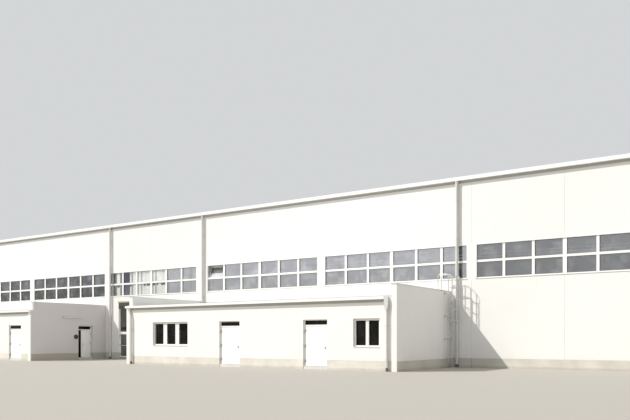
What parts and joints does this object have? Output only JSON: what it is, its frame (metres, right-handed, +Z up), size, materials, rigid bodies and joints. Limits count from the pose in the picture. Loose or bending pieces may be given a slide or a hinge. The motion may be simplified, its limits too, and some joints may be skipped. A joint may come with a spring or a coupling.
{
  "type": "factory building with two front annexes, as a 1:2 scale model",
  "caption": "Long panel-clad factory hall with a ribbon of windows, two low annexes with hinged doors, a glazed entrance, downpipes and a caged roof ladder; 1:2 scale model.",
  "frame": {"origin": "middle of the hall's plan, on the ground under its floor slab", "axes": "+Z up; +X along the front, to the right for someone who looks at it; -Y out of the front, towards the viewer"},
  "size_m": [30.692, 15.5519, 5.6925],
  "materials": {
    "plinth": "matt cast concrete",
    "floor": "power-floated concrete",
    "wall_panel": "matt light render on concrete sandwich panels",
    "render": "matt light render",
    "concrete_frame": "plain precast concrete",
    "white_metal": "satin white coating",
    "roof_deck": "light grey membrane on ribbed deck",
    "flashing": "mill finish",
    "pipe": "satin grey coating",
    "window_frame": "satin white coating",
    "glass": "clear, slightly grey",
    "door_leaf": "satin white coating",
    "galvanised": "galvanised",
    "fitting": "dark grey coating"
  },
  "bodies": {
    "building": {"hall_plinth": "plinth", "hall_floor": "floor", "front_lower_panels": "wall_panel", "front_upper_panels": "wall_panel", "back_panels": "wall_panel", "gable_panels": "wall_panel", "window_piers": "wall_panel", "hall_columns": "concrete_frame", "roof_beams": "concrete_frame", "edge_beams": "concrete_frame", "wind_braces": "white_metal", "roof_front_slope": "roof_deck", "roof_back_slope": "roof_deck", "roof_flashings": "flashing", "hall_gutters": "white_metal", "hall_downpipes": "pipe", "front_window_frames": "window_frame", "front_window_glass": "glass", "rear_window_frames": "window_frame", "rear_window_glass": "glass", "open_sash": "white_metal", "entrance_frame": "window_frame", "entrance_glass": "glass", "annex_floors": "floor", "annex_plinths": "plinth", "annex_front_walls": "render", "annex_end_walls": "render", "annex_door_heads": "render", "annex_roofs": "roof_deck", "annex_gutters": "white_metal", "annex_downpipes": "pipe", "annex_window_frames": "window_frame", "annex_glass": "glass", "annex_door_frames": "window_frame", "roof_ladder": "galvanised", "ladder_cage": "galvanised", "wall_lamp": "fitting", "wall_disc": "fitting"},
    "entrance_door": {"entrance_leaf": "white_metal", "entrance_leaf_glass": "glass"},
    "right_door_a": {"right_door_1": "door_leaf"},
    "right_door_b": {"right_door_2": "door_leaf"},
    "left_door_a": {"left_door_1": "door_leaf"},
    "left_door_b": {"left_door_2": "door_leaf"},
    "end_door": {"left_end_door": "door_leaf"}
  },
  "joints": [
    {"name": "right_door_1_swing", "type": "hinge", "parent": "building", "child": "right_door_a", "pos_m": [3.828, -9.302, 0.6], "axis": [0, 0, -1], "range_deg": [0, 90]},
    {"name": "right_door_2_swing", "type": "hinge", "parent": "building", "child": "right_door_b", "pos_m": [6.768, -9.302, 0.6], "axis": [0, 0, -1], "range_deg": [0, 90]},
    {"name": "left_door_1_swing", "type": "hinge", "parent": "building", "child": "left_door_a", "pos_m": [-8.047, -9.302, 0.6], "axis": [0, 0, -1], "range_deg": [0, 90]},
    {"name": "left_door_2_swing", "type": "hinge", "parent": "building", "child": "left_door_b", "pos_m": [-6.562, -9.302, 0.6], "axis": [0, 0, -1], "range_deg": [0, 90]},
    {"name": "end_door_swing", "type": "hinge", "parent": "building", "child": "end_door", "pos_m": [-5.303, -6.678, 0.6], "axis": [0, 0, 1], "range_deg": [-18, 72]},
    {"name": "entrance_door_swing", "type": "hinge", "parent": "building", "child": "entrance_door", "pos_m": [-4.407, -5.962, 0.55], "axis": [0, 0, -1], "range_deg": [0, 90]}
  ]
}
